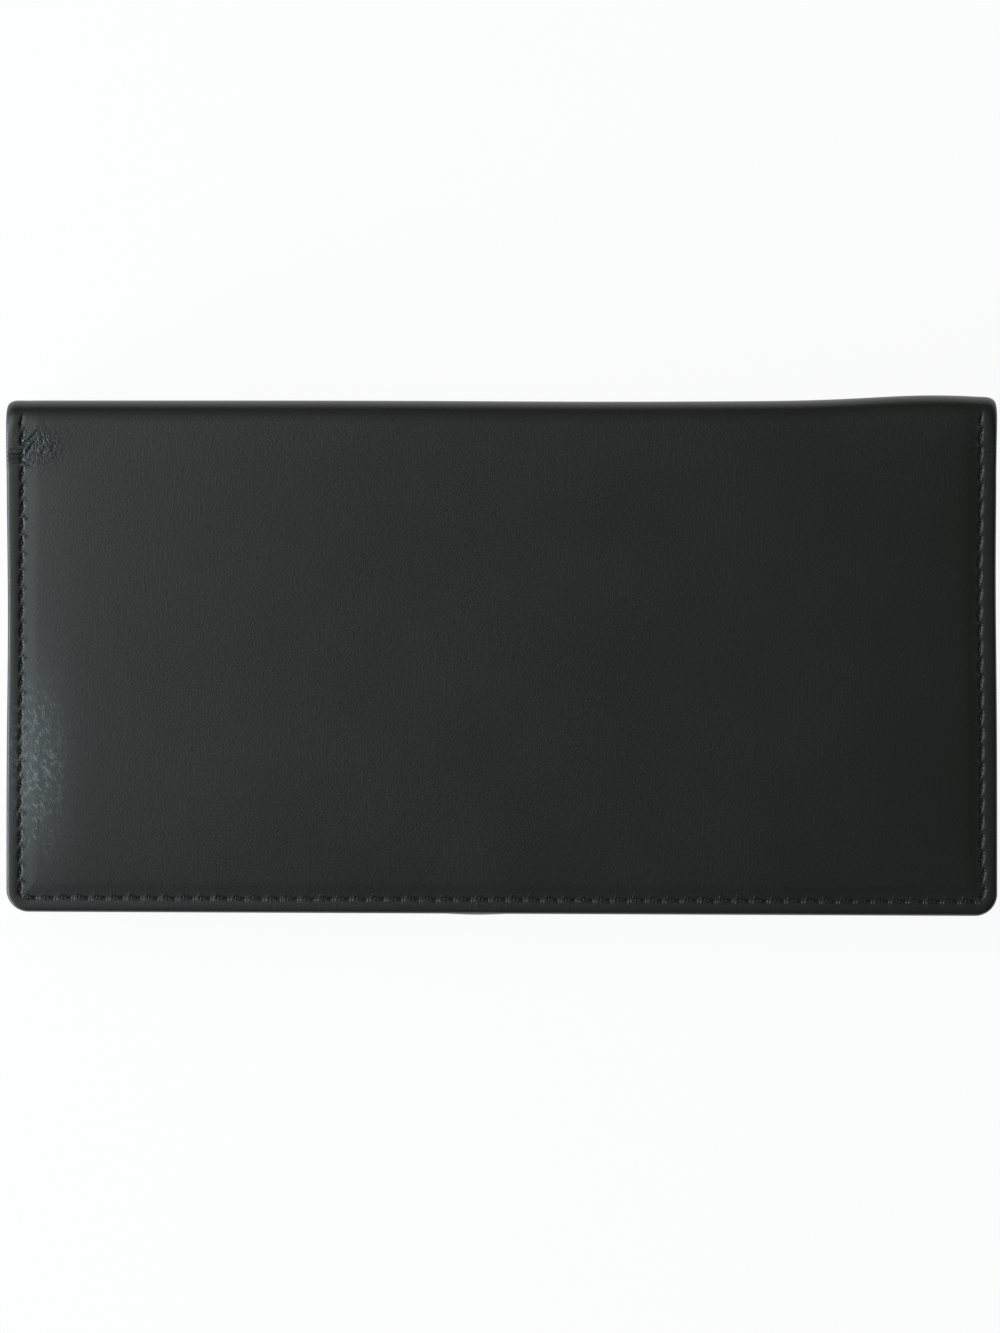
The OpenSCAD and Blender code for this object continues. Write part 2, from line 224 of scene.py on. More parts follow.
# Places points of the unrolled cover: x along the fold, v up from the free edge, n out of the outer
# face. Below the fold's start a point stays over the flat panel. Past it the height becomes an angle
# round the fold's axis, and n is added to the fold's radius, which follows a superellipse, so that the
# fold is a little square. The back is the front turned over.
def wrapOnCover(x, v, n, face):
    angle = np.clip((v - foldStart) / foldRadius, 0, None)
    c, s = np.cos(angle), np.sin(angle)
    power = cover["foldSquareness"]
    radius = (foldRadius + n) * (np.abs(c) ** power + np.abs(s) ** power) ** (-1 / power)
    y = np.where(v < foldStart, freeY + v, foldY + radius * s)
    z = foldRadius + radius * c
    return settle(x, y, face) + (2 * foldRadius - z if face == "back" else z,)


# Where this used cover departs from a true rectangle: its sides are drawn in by a few tenths at
# mid height, its free edge runs down to the right, and its fold bulges at the right end. Bells are
# given as height, middle and width along the edge that they move.
habit = {
    "left": [(0.25, 6.5, 19.0)],
    "right": [(0.24, 14.0, 20.0), (0.10, 36.0, 5.0)],
    "rightAll": 0.06,
    "footLift": -0.01,
    "footSlope": -0.0045,
    "backPeep": [(0.8, -4.5, 11.0)],
    "foldLift": 0.19,
    "fold": [(0.9, 75.0, 15.0), (-0.2, 20.0, 32.0)],
}


# Moves x and y from the true rectangle to this cover's shape; each move fades in towards its edge
def settle(x, y, face):
    inward = smoothStep(-x, 50.0, halfWidth) * bells(y, habit["left"])
    inward -= smoothStep(x, 50.0, halfWidth) * (habit["rightAll"] + bells(y, habit["right"]))
    foot = habit["footLift"] + habit["footSlope"] * x
    if face == "back":
        foot -= bells(x, habit["backPeep"])
    fold = habit["foldLift"] + bells(x, habit["fold"])
    up = smoothStep(-y, 0.0, -freeY) * foot + smoothStep(y, 26.0, foldY + foldRadius) * fold
    return x + inward, y + up


# Quads between the points of a grid stored row by row, or of a grid of their indices
def indexQuads(index):
    return np.stack([index[:-1, :-1], index[:-1, 1:], index[1:, 1:], index[1:, :-1]], axis=-1).reshape(-1, 4)


def gridQuads(rows, columns, first=0):
    return indexQuads(first + np.arange(rows * columns).reshape(rows, columns))


# Positions from low to high whose spacing follows a list of (up to, step) stretches
def spaced(low, stretches):
    parts = [np.array([low])]
    for upTo, step in stretches:
        count = max(1, round((upTo - parts[-1][-1]) / step))
        parts.append(np.linspace(parts[-1][-1], upTo, count + 1)[1:])
    return np.concatenate(parts)


def joined(arrays):
    return np.concatenate([np.ravel(part) for part in arrays])


uvSpan = 200.0  # millimetres that one unit of the UV map stands for


def flatUv(x, v, face):
    shift = 0.0 if face == "front" else 0.37
    return np.stack([(x + 100.0) / uvSpan + shift, v / uvSpan + shift], axis=-1)


# Makes a piece from arrays over the unrolled cover, x, v and n in millimetres, quads as rows of four
# indices, one UV per point, and masks for the materials
def newPiece(name, face, x, v, n, quads, uv, masks=None, weld=True):
    points = np.stack(wrapOnCover(x, v, n, face), axis=-1) * mm
    mesh = bpy.data.meshes.new(name)
    mesh.vertices.add(len(points))
    mesh.vertices.foreach_set("co", points.astype(np.float32).ravel())
    mesh.loops.add(quads.size)
    mesh.loops.foreach_set("vertex_index", quads.astype(np.int32).ravel())
    mesh.polygons.add(len(quads))
    mesh.polygons.foreach_set("loop_start", np.arange(0, quads.size, 4, dtype=np.int32))
    layer = mesh.uv_layers.new(name="flat")
    layer.data.foreach_set("uv", uv[quads.ravel()].astype(np.float32).ravel())
    for key, values in (masks or {}).items():
        store = mesh.attributes.new(key, "FLOAT", "POINT")
        store.data.foreach_set("value", values.astype(np.float32))
    mesh.update(calc_edges=True)
    mesh.validate()
    if weld:
        work = bmesh.new()
        work.from_mesh(mesh)
        bmesh.ops.remove_doubles(work, verts=work.verts, dist=2e-6)
        bmesh.ops.dissolve_degenerate(work, edges=work.edges, dist=1e-6)
        bmesh.ops.recalc_face_normals(work, faces=work.faces)
        work.to_mesh(mesh)
        work.free()
    mesh.polygons.foreach_set("use_smooth", np.ones(len(mesh.polygons), dtype=bool))
    piece = bpy.data.objects.new(name, mesh)
    bpy.context.scene.collection.objects.link(piece)
    print(name, "faces", len(mesh.polygons))
    return piece


# Creases that fan out of the seam where the pocket's turned edge ends. Each starts at a distance from
# the seam and a rise over the fold's start, and runs at an angle, slightly bent. The height falls
# across it as a bell with a softer ridge on either side, and fades from its root to its tip.
leftCreases = [
    # out, rise, angle, length, bend, depth, width
    (0.0, -1.5, 12, 4.0, 0.17, 0.19, 0.27),
    (0.7, -3.34, 58, 4.2, -0.065, 0.14, 0.25),
    (0.0, -4.4, -20, 2.8, 0.0, 0.12, 0.24),
    (0.1, -2.5, 30, 2.4, 0.05, 0.09, 0.22),
    (3.1, -3.6, 34, 2.6, 0.05, 0.06, 0.20),
    (4.6, -0.6, -38, 2.4, 0.03, 0.05, 0.20),
]
rightCreases = [
    (0.0, -1.4, 158, 2.2, 0.04, 0.05, 0.26),
    (0.0, -2.8, 184, 2.8, 0.02, 0.07, 0.28),
]
crimps = {"below": 3.6, "span": 1.3, "pitch": 0.8, "left": 0.18, "right": 0.05}  # across the margins there


def creaseField(x, v, creases, side):
    height = np.zeros_like(x)
    rootX = side * (halfWidth - seam["inset"] - 0.15)
    x, v = x + 0.22 * waviness(x, v, 3.4, 0.4), v + 0.22 * waviness(x, v, 2.9, 1.9)  # the lines waver
    for out, rise, angle, length, bendRate, depth, width in creases:
        c, s = math.cos(math.radians(angle)), math.sin(math.radians(angle))
        dx, dv = x - rootX + side * out, v - (foldStart + rise)
        along = dx * c + dv * s
        across = -dx * s + dv * c - bendRate * along * along
        fade = smoothStep(along, -0.4, 0.5) * (1 - smoothStep(along, 0.3 * length, length))
        ridges = [(-1, 0.0, width), (0.6, 1.7 * width, 1.1 * width), (0.4, -1.8 * width, 1.2 * width)]
        height += fade * depth * bells(across, ridges)
    return height


# How much of the swelling is left at unrolled height v: all of it on the panel, none on the fold
def swellAt(v):
    return 1 - smoothStep(v, foldStart - 5.0, foldStart + 4.0)


# Height of the margin outside the seam: it falls from its crown to both sides, as a power of distance
def marginHeight(d):
    return -seam["groove"] * np.abs((d - seam["crown"]) / (seam["inset"] - seam["crown"])) ** seam["marginPower"]


# Height of the cover leather's outer face over its plain surface. The margin falls from its crown to
# the seam, the groove's inner wall climbs back as a smooth step, and from there the face swells as
# 1 - exp(-distance / length). What each stitch presses into it is left to the leather's bump.
def faceRelief(x, v, face):
    d = seamCoordinates(x, v)[0]
    wallStart = seam["inset"] + 0.05
    height = marginHeight(np.minimum(d, wallStart)) * (1 - smoothStep(d, wallStart, wallStart + seam["wall"]))
    height *= seamPull(v)
    swellX, swellV = (
        1 - np.exp(-np.clip(inset - 2.9, 0, None) / pillow["length"]) for inset in (halfWidth - np.abs(x), v)
    )
    swell = swellX * swellV
    rise = pillow["rise"] if face == "front" else pillow["drop"]
    height += (rise * swell - pillow["drop"]) * swellAt(v)
    height += 0.03 * swell * waviness(x, v, 46.0, 0.8) * swellAt(v + 4)
    if face == "back":
        return np.minimum(height, 0.0)
    height += creaseField(x, v, leftCreases, -1) + creaseField(x, v, rightCreases, 1)
    where = bell(v, foldStart - crimps["below"], crimps["span"]) * smoothStep(-d, -2.6, -2.0) * (np.abs(x) > 70)
    ripple = 0.5 + 0.5 * np.cos(2 * math.pi * v / crimps["pitch"])
    return height - where * ripple * np.where(x < 0, crimps["left"], crimps["right"])


# The turned hem inside: how far in from the edge its rings lie, and the last ones' drop to the lining
hemRings = [(inset, 0.0) for inset in (1.75, 1.88, 2.0, 2.25, 2.5, 2.75, 3.0, 3.4, 4.0, 4.8, 5.6)]
hemRings += [(cover["hemWidth"] + inset, drop) for inset, drop in ((-0.3, 0.0), (-0.08, 0.1), (0.0, 0.3))]
hemRings += [(cover["hemWidth"], cover["hemThickness"])]
rimRings = 19  # rings of the rolled edge between face and hem


# The cover leather of one half, as one skin. Its outer face is a grid over the unrolled half, whose
# half width shrinks along a circle at the free corners. From the face's border half a superellipse, as
# high as the edge is thick, leads round to the inside, and a strip along the edge makes the turned hem.
def makeCoverLeather(name, face):
    isFront = face == "front"
    rim0 = roll["reach"]
    footRadius = cornerRadius - rim0
    cornerTop = rim0 + footRadius
    cornerRows = rim0 + footRadius * (1 - np.cos(np.linspace(0, math.pi / 2, 23)[:-1]))
    v = np.concatenate([cornerRows, spaced(cornerTop, [
        (6.5, 0.24), (foldStart - 7.5, 0.7), (foldStart - 6.0, 0.24), (foldStart - 1.0, 0.12 if isFront else 0.3),
        (foldStart + 1.0, 0.24), (foldStart + 6.0, 0.32), (foldTop - 0.4, 0.4), (foldTop, 0.1),
    ])])
    rim = rimAt(v)
    reach, power = rollAt(v)
    inCorner = v < cornerTop
    roundWidth = halfWidth - cornerRadius + np.sqrt(np.clip(footRadius**2 - (cornerTop - v) ** 2, 0, None))
    w = np.where(inCorner, roundWidth, halfWidth - reach)
    fine, fineTo = (0.22, 11.0) if isFront else (0.4, 4.4)
    across = 2 * halfWidth - 2 * rim0
    u = spaced(0.0, [(3.4, 0.18), (fineTo, fine), (across - 4.6, 0.72), (across, 0.2)])
    u = u / u[-1] * 2 - 1
    gridX = u[None, :] * w[:, None]
    gridV = np.repeat(v[:, None], len(u), axis=1)
    gridN = faceRelief(gridX, gridV, face)
    rows, columns = gridX.shape

    # stations along the border: down the left side, along the foot, up the right side
    last = rows - 1
    row = np.concatenate([np.arange(last, 0, -1), np.zeros(columns, int), np.arange(1, rows)])
    column = np.concatenate([np.zeros(last, int), np.arange(columns), np.full(last, columns - 1)])
    edgeX, edgeV, edgeN = (values[row, column] for values in (gridX, gridV, gridN))
    sign = np.sign(edgeX)
    onFoot = row == 0
    atCorner = inCorner[row] & ~onFoot
    cornerX = sign * (halfWidth - cornerRadius)
    outX = np.where(onFoot, 0.0, np.where(atCorner, (edgeX - cornerX) / footRadius, sign))
    outV = np.where(onFoot, -1.0, np.where(atCorner, (edgeV - cornerRadius) / footRadius, 0.0))
    rim, reach, rounding, pull = rim[row], reach[row], 2 / power[row], seamPull(v)[row]

    # the rolled edge, a superellipse of the angle psi from the face round to the inside
    ringX, ringV, ringN, ringFlat = [], [], [], []
    for psi in np.linspace(0, math.pi, rimRings + 1)[1:]:
        out = reach * max(math.sin(psi), 0.0) ** rounding
        fall = 1 - math.copysign(1, math.cos(psi)) * abs(math.cos(psi)) ** rounding
        margin = marginHeight(reach - out) - marginHeight(reach)
        ringX.append(edgeX + outX * out)
        ringV.append(edgeV + outV * out)
        ringN.append(edgeN * (1 - psi / math.pi) ** 2 - rim * fall + pull * margin * (psi < math.pi / 2))
        ringFlat.append(0.85 * rim * psi)

    # the turned hem, on paths whose corners tighten towards the inside, with pleats at the corners
    cornerAngle = np.arctan2(np.clip(cornerRadius - edgeV, 0, None), np.abs(edgeX) - halfWidth + cornerRadius + 1e-6)
    for inset, drop in hemRings:
        tight = max(cornerRadius - inset, 0.5)
        inner = halfWidth - inset - tight
        scaleV = (foldTop - inset - tight) / (foldTop - cornerRadius)
        sideX = np.where(atCorner, sign * inner + tight * outX, sign * (halfWidth - inset))
        sideV = inset + tight + np.where(atCorner, tight * outV, (edgeV - cornerRadius) * scaleV)
        hemX = np.where(onFoot, edgeX * inner / (halfWidth - cornerRadius), sideX)
        hemV = np.where(onFoot, inset, sideV)
        d = seamCoordinates(hemX, hemV)[0]
        pleats = 0.13 * np.abs(np.sin(5 * cornerAngle)) * bell(inset, 2.2, 1.8) * atCorner
        relief = 0.20 * bell(d, seam["inset"], 0.4) - pleats + 0.03 * waviness(hemX, hemV, 21.0, 2.0)
        relief *= smoothStep(d, 0.9, 1.7) * (1 if drop == 0 else 0.4)
        ringX.append(hemX)
        ringV.append(hemV)
        ringN.append(-2 * rim + drop + relief)
        ringFlat.append(0.85 * rim * math.pi + (inset - rim0) + drop)

    ringX, ringV, ringN, ringFlat = (np.array(rings) for rings in (ringX, ringV, ringN, ringFlat))
    rings, stations = ringX.shape
    flatX, flatV = joined([gridX, edgeX + outX * ringFlat]), joined([gridV, edgeV + outV * ringFlat])
    index = gridX.size + np.arange(rings * stations).reshape(rings, stations)
    border = indexQuads(np.concatenate([(row * columns + column)[None, :], index]))[:, ::-1]
    quads = np.concatenate([gridQuads(rows, columns), np.roll(border, 1, axis=1)])
    if not isFront:
        quads = quads[:, ::-1]
    d, s = seamCoordinates(gridX, gridV)
    ringD, ringS = seamCoordinates(ringX, ringV)
    ringD[:rimRings] = 0.0
    alongRim = 0.6 + 0.4 * np.sin(0.11 * np.arange(stations)) ** 2
    rimWear = bell(np.arange(1, rings + 1), 6.0, 4.0)[:, None] * alongRim
    rest = np.zeros(rimWear.size)
    # The front's scuffed patch low on the left is partly real scuffing and partly painted sheen: the left window's
    # highlight painted in as paler colour. The back's patch is a worn place.
    if isFront:
        scuffAndSheenPatch = bell(gridX, -halfWidth + 5.4, 4.8) * bell(gridV, 26.0, 15.5)
        pinched = bell(gridX, -halfWidth + 5.6, 4.2) * bell(gridV, foldStart - 1.9, 3.2)
    else:
        scuffAndSheenPatch = 0.5 * bell(gridX, 52.0, 20.0) * bell(gridV, 40.0, 22.0)
        pinched = 0 * gridX
    masks = {
        "wear": joined([0.2 * bell(d, 3.4, 0.5), rimWear]),
        "scuffAndSheen": joined([scuffAndSheenPatch, rest]),
        "pinch": joined([pinched, rest]),
        "seamIn": joined([d, ringD]),
        "seamAlong": joined([s, ringS]),
        "seamPull": joined([stitchPull(gridX, gridV), stitchPull(ringX, ringV)]),
    }
    x, v, n = joined([gridX, ringX]), joined([gridV, ringV]), joined([gridN, ringN])
    return newPiece(name, face, x, v, n, quads, flatUv(flatX, flatV, face), masks, weld=False)


# Positions across a layer, with a share of its half thickness at each: where an end is rounded, the
# last stretch is spaced by a quarter circle and the share falls to nothing as that circle does
def acrossLayer(low, high, step, radius, roundLow, roundHigh, turns=5):
    arc = np.linspace(0, math.pi / 2, turns + 1)
    start = low + (radius if roundLow else 0)
    stop = high - (radius if roundHigh else 0)
    middle = np.linspace(start, stop, max(2, round((stop - start) / step) + 1))
    values, share = [middle], [np.ones_like(middle)]
    if roundLow:
        values.insert(0, (start - radius * np.cos(arc))[:-1])
        share.insert(0, np.sin(arc)[:-1])
    if roundHigh:
        values.append((stop + radius * np.cos(arc[::-1]))[1:])
        share.append(np.sin(arc[::-1])[1:])
    return np.concatenate(values), np.concatenate(share)


# A thin layer: a grid over x and v whose top and bottom lie half its thickness above and below a
# middle surface given as a depth. At rounded edges both meet; elsewhere a wall joins them. box is its
# left, right, foot and top; plan narrows it, and sewn lists lines of stitches as (x, v), one of them
# None.
def makeLayer(name, face, box, thickness, middleDepth, step=1.2, rounded="", plan=None, sewn=()):
    left, right, foot, top = box
    radius = thickness / 2
    xs, shareX = acrossLayer(left, right, step, radius, "left" in rounded, "right" in rounded)
    vs, shareV = acrossLayer(foot, top, step, radius, "foot" in rounded, "top" in rounded)
    gridX, gridV = np.meshgrid(xs, vs)
    share = shareV[:, None] * shareX[None, :]
    if plan is not None:
        gridX = gridX * plan(gridV)
    depth = middleDepth(gridX, gridV)
    rows, columns = gridX.shape
    x, v = joined([gridX, gridX]), joined([gridV, gridV])
    n = joined([radius * share - depth, -depth - radius * share])
    size = rows * columns
    index = np.arange(size).reshape(rows, columns)
    quads = [gridQuads(rows, columns), gridQuads(rows, columns, size)[:, ::-1]]
    runs = {"left": index[:, 0], "right": index[::-1, -1], "foot": index[0, ::-1], "top": index[-1, :]}
    for side, run in runs.items():
        if side not in rounded:
            quads.append(np.stack([run[:-1], run[:-1] + size, run[1:] + size, run[1:]], axis=-1))
    aside, along = np.full_like(x, 9.0), np.zeros_like(x)
    for rowX, rowV in sewn:
        across, run = (v - rowV, x) if rowX is None else (x - rowX, v)
        near = np.abs(across) < np.abs(aside)
        aside, along = np.where(near, across, aside), np.where(near, run, along)
    masks = {"rowAside": aside, "rowAlong": along} if sewn else None
    return newPiece(name, face, x, v, n, np.concatenate(quads), flatUv(x, v, face), masks)


# Many stitches in one mesh, from rows of x, v, heading, depth and the side that they stand out on.
# Each is a bead along its own short axis: round in section, swollen in the middle and drawn down into
# the leather at its two ends, and turned a little out of the seam's line.
def makeStitches(name, face, rows):
    around, along = 7, 7
    x, v, heading, depth, outward = (joined(part)[:, None, None] for part in zip(*rows))
    t = np.linspace(-1, 1, along)[:, None]
    phi = np.linspace(0, 2 * math.pi, around + 1)[None, :]
    ring = thread["diameter"] / 2 * np.sqrt(np.clip(1 - np.abs(t) ** 3.2, 0.02, None))
    lengthwise = t * thread["length"] / 2 + 0 * phi
    sideways = ring * np.cos(phi)
    upward = ring * thread["flatness"] * np.sin(phi) - thread["dip"] * t**4
    turn = heading + math.radians(thread["slant"])
    c, s = np.cos(turn), np.sin(turn)
    px, pv = x + c * lengthwise - s * sideways, v + s * lengthwise + c * sideways
    pn = depth + outward * upward
    first = np.arange(len(px)) * along * (around + 1)
    quads = (gridQuads(along, around + 1)[None] + first[:, None, None]).reshape(-1, 4)
    uv = [np.broadcast_to(values, px.shape).ravel() for values in (t / 2 * thread["length"], phi / (2 * math.pi))]
    return newPiece(name, face, px.ravel(), pv.ravel(), pn.ravel(), quads, np.stack(uv, axis=-1))


# The seam of one half: its stitches on the outer face, and again on the hem inside
def makeSeam(name, face):
    x, v, heading = seamPoints((np.arange(stitchCount) + 0.5) * stitchPitch)
    outside = -thread["sunk"] - pillow["drop"] * swellAt(v) - 0.3 * (1 - seamPull(v))
    inside = -2 * rimAt(v) + 0.12
    rows = [(x, v, heading, depth, np.full(len(x), side)) for depth, side in ((outside, 1.0), (inside, -1.0))]
    return makeStitches(name, face, rows)


# A straight row of stitches between two points, on an inner face at the given depth
def stitchRow(a, b, depth):
    count = max(1, round(math.hypot(b[0] - a[0], b[1] - a[1]) / seam["pitch"]))
    t = (np.arange(count) + 0.5) / count
    heading = math.atan2(b[1] - a[1], b[0] - a[0])
    level = thread["proud"] - depth
    return between(a[0], b[0], t), between(a[1], b[1], t), t * 0 + heading, t * 0 + level, t * 0 - 1


# A value on its way through a shader's node tree: arithmetic on it adds Math nodes
class Wire:
    def __init__(self, socket):
        self.socket = socket

    def math(self, operation, *others, clamp=False):
        return mathNode(self.socket.id_data, operation, self, *others, clamp=clamp)

    def __add__(self, other):
        return self.math("ADD", other)

    def __sub__(self, other):
        return self.math("SUBTRACT", other)

    def __mul__(self, other):
        return self.math("MULTIPLY", other)

    def __truediv__(self, other):
        return self.math("DIVIDE", other)

    def __pow__(self, other):
        return self.math("POWER", other)

    def __abs__(self):
        return self.math("ABSOLUTE")

    def __rsub__(self, other):
        return mathNode(self.socket.id_data, "SUBTRACT", other, self)

    def __rtruediv__(self, other):
        return mathNode(self.socket.id_data, "DIVIDE", other, self)


# A node of a tree: set() joins or sets its inputs by name, and [] takes an output
class Step:
    def __init__(self, node):
        self.node = node

    def __getitem__(self, output):
        return Wire(self.node.outputs[output])

    def set(self, **inputs):
        for key, value in inputs.items():
            plug(self.node.inputs[key.replace("_", " ")], value)


# Joins a wire to a socket, or sets the socket's own value
def plug(socket, value):
    if isinstance(value, Wire):
        socket.id_data.links.new(value.socket, socket)
    else:
        socket.default_value = (*value, 1.0) if socket.type == "RGBA" else value


def mathNode(tree, operation, *values, clamp=False):
    return Tree(tree).add("ShaderNodeMath", {"operation": operation, "use_clamp": clamp}, *values)[0]


# A node tree that is being built, with the nodes that this cover's materials are made of
class Tree:
    def __init__(self, tree):
        self.tree = tree

    # adds a node: settings are its properties, then come its inputs in order or by name
    def add(self, kind, settings=None, *ordered, **named):
        node = self.tree.nodes.new(kind)
        for key, value in (settings or {}).items():
            setattr(node, key, value)
        for socket, value in zip(node.inputs, ordered):
            plug(socket, value)
        step = Step(node)
        step.set(**named)
        return step

    def noise(self, place, scale, detail):
        return self.add("ShaderNodeTexNoise", {"noise_dimensions": "2D"}, Vector=place, Scale=scale, Detail=detail)

    def cells(self, place, scale, feature="F1", **inputs):
        settings = {"voronoi_dimensions": "2D", "feature": feature}
        return self.add("ShaderNodeTexVoronoi", settings, Vector=place, Scale=scale, **inputs)["Distance"]

    # 0 where the value is below low, 1 above high, and smooth in between
    def ramp(self, value, low, high):
        inputs = {"Value": value, "From Min": low, "From Max": high}
        return self.add("ShaderNodeMapRange", {"interpolation_type": "SMOOTHSTEP"}, **inputs)["Result"]

    # a place moved about by a noise
    def warped(self, place, scale, detail, amount):
        bent = self.noise(place, scale, detail)["Color"]
        shift = self.add("ShaderNodeVectorMath", {"operation": "SCALE"}, Vector=bent, Scale=amount)
        return self.add("ShaderNodeVectorMath", {"operation": "ADD"}, place, shift[0])[0]

    # exp(-(distance / width) squared)
    def hump(self, value, middle, width):
        off = (value - middle) / width
        return (off * off * -1.0).math("EXPONENT")

    def mix(self, factor, a, b):
        return self.add("ShaderNodeMix", {"data_type": "RGBA"}, Factor=factor, A=a, B=b)["Result"]

    def mixShaders(self, factor, a, b):
        return self.add("ShaderNodeMixShader", None, factor, a, b)[0]

    def split(self, place):
        parts = self.add("ShaderNodeSeparateXYZ", Vector=place)
        return parts["X"], parts["Y"]

    def group(self, group, **inputs):
        return self.add("ShaderNodeGroup", {"node_tree": group}, **inputs)


# A shader node group: its inputs are numbers with their defaults, or None for a place
class Group(Tree):
    def __init__(self, name, inputs, outputs):
        super().__init__(bpy.data.node_groups.new(name, "ShaderNodeTree"))
        for label, default in inputs.items():
            kind = "NodeSocketVector" if default is None else "NodeSocketFloat"
            item = self.tree.interface.new_socket(label, in_out="INPUT", socket_type=kind)
            if default is not None:
                item.default_value = default
        for label in outputs:
            self.tree.interface.new_socket(label, in_out="OUTPUT", socket_type="NodeSocketFloat")
        self.given = self.add("NodeGroupInput")
        self.result = self.add("NodeGroupOutput")

    def take(self, *names):
        return [self.given[name] for name in names]

    def give(self, **values):
        self.result.set(**values)
        return self.tree


# A material and its Principled shader
class Material(Tree):
    def __init__(self, name, color, roughness, **sockets):
        self.material = bpy.data.materials.new(name)
        self.material.use_nodes = True
        self.material.diffuse_color = (*color, 1.0)
        super().__init__(self.material.node_tree)
        self.shader = Step(self.tree.nodes["Principled BSDF"])
        self.shader.set(Base_Color=color, Roughness=roughness, **sockets)

    def uv(self):
        return self.add("ShaderNodeUVMap", {"uv_map": "flat"})[0]

    # the piece's place on its flat cut, in millimetres
    def flat(self):
        return self.add("ShaderNodeMapping", Vector=self.uv(), Scale=(uvSpan, uvSpan, 1.0))[0]

    def mask(self, name):
        return self.add("ShaderNodeAttribute", {"attribute_name": name})["Fac"]

    # links the shader's inputs; the height, in millimetres, goes through a bump
    def finish(self, height, strength=1.0, **inputs):
        bump = self.add("ShaderNodeBump", Strength=strength, Distance=mm, Height=height)
        self.shader.set(Normal=bump[0], **inputs)
        return self.material


# Smooth leather, in millimetres: fine rounded cells, sparse pores, faint streaks that run up the hide
# in patches, and a little dust. Height is for a bump, and tone is 0 where plain and 1 where paler.
def buildLeatherGrain():
    inputs = {"Vector": None, "Cell": 0.42, "Cells": 0.5, "Pores": 0.5, "Streaks": 0.5}
    g = Group("leatherGrain", inputs, ["Height", "Tone", "Cloud"])
    place, cell, cells, pores, streaks = g.take(*inputs)
    moved = g.warped(place, 0.9, 2.0, 0.35)
    dome = 0.5 - g.cells(moved, 1.0 / cell, "SMOOTH_F1", Smoothness=0.6)
    pit = 1.0 - g.ramp(g.cells(moved, 0.8), 0.03, 0.18)
    cloud = g.noise(place, 0.055, 3.0)["Fac"]
    stretched = g.add("ShaderNodeMapping", Vector=place, Scale=(2.6, 0.30, 1.0))[0]
    streak = g.ramp(g.noise(stretched, 1.0, 2.0)["Fac"], 0.52, 0.78) * g.ramp(cloud, 0.42, 0.66)
    dust = g.noise(place, 4.5, 4.0)["Fac"]
    height = dome * (cells * 0.045) + pit * (pores * -0.012) + (dust * 0.008 + streak * (streaks * 0.011))
    return g.give(Height=height, Tone=streak * streaks, Cloud=cloud)


# What a row of stitches presses into leather, from the distance to its line and the distance along it,
# in millimetres: a narrow trough under each stitch, a needle hole at both its ends, and beside each
# hole a knot of leather that stands up. Every stitch is a little different. Shade marks the troughs and
# holes, where a material darkens its colour as painted shade.
def buildStitchPress():
    inputs = {"Aside": 0.0, "Along": 0.0, "Pitch": 3.0, "Slant": 0.16}
    g = Group("stitchPress", inputs, ["Height", "Shade"])
    aside, along, pitch, slant = g.take(*inputs)
    turns = along / pitch
    t = (turns.math("FRACT") - 0.5) * pitch
    own = g.add("ShaderNodeTexNoise", {"noise_dimensions": "1D"}, W=turns * 1.7, Scale=1.0, Detail=2.0)["Fac"]
    uneven = g.ramp(own, 0.25, 0.75)
    aside = aside + (own - 0.5) * 0.35 + t * slant
    trough = (1.0 - g.ramp(abs(t), 0.6, 0.95)) * g.hump(aside, 0.0, 0.30)
    fromHole = abs(t) - pitch * 0.5
    hole = g.hump(fromHole, -0.45, 0.16) * g.hump(aside, 0.0, 0.2)
    knot = g.hump(fromHole, 0.0, 0.48) * g.hump(aside, uneven * 0.3 + 0.1, 0.33)
    height = knot * (uneven * uneven * 0.058 + 0.010) + trough * -0.13 + hole * -0.10
    return g.give(Height=height, Shade=trough.math("MAXIMUM", hole))


# Small broken wrinkles: warped cells that bulge between thin lines
def buildCrinkle():
    inputs = {"Vector": None, "Size": 0.9, "Thin": 0.16}
    g = Group("crinkle", inputs, ["Bulge"])
    place, size, thin = g.take(*inputs)
    fromLine = g.cells(g.warped(place, 0.8, 3.0, 1.6), 1.0 / size, "DISTANCE_TO_EDGE")
    return g.give(Bulge=fromLine.math("DIVIDE", thin, clamp=True).math("SQRT"))


# Short scratches that lie along one angle: a noise stretched along the angle, cut to thin crests
def buildScratches():
    inputs = {"Vector": None, "Angle": 1.2, "Width": 0.2, "Length": 2.5, "Amount": 0.5}
    g = Group("scratches", inputs, ["Mask"])
    place, angle, width, length, amount = g.take(*inputs)
    x, y = g.split(g.add("ShaderNodeVectorRotate", {"rotation_type": "Z_AXIS"}, Vector=place, Angle=angle)[0])
    stretched = g.add("ShaderNodeCombineXYZ", X=x / width, Y=y / length)[0]
    crest = g.noise(stretched, 0.5, 1.0)["Fac"] - (amount * -0.2 + 0.72)
    broken = g.ramp(g.noise(place, 0.9, 1.0)["Fac"], 0.42, 0.6)
    return g.give(Mask=crest.math("MULTIPLY", 16.0, clamp=True) * broken)


# Plain weave: two sets of threads over and under each other, from products of sines. Gap is 1 in the hollows between
# the threads, for painted shade there
def buildWeave():
    inputs = {"Vector": None, "Pitch": 0.4}
    g = Group("weave", inputs, ["Height", "Gap"])
    place, pitch = g.take(*inputs)
    x, y = (part * (math.pi / pitch) for part in g.split(place))
    over = x.math("COSINE") * y.math("COSINE")
    warp = abs(x.math("SINE")) * (over * 0.5 + 0.5)
    height = warp.math("MAXIMUM", abs(y.math("SINE")) * (over * -0.5 + 0.5))
    return g.give(Height=height, Gap=1.0 - height.math("MULTIPLY", 1.6, clamp=True))


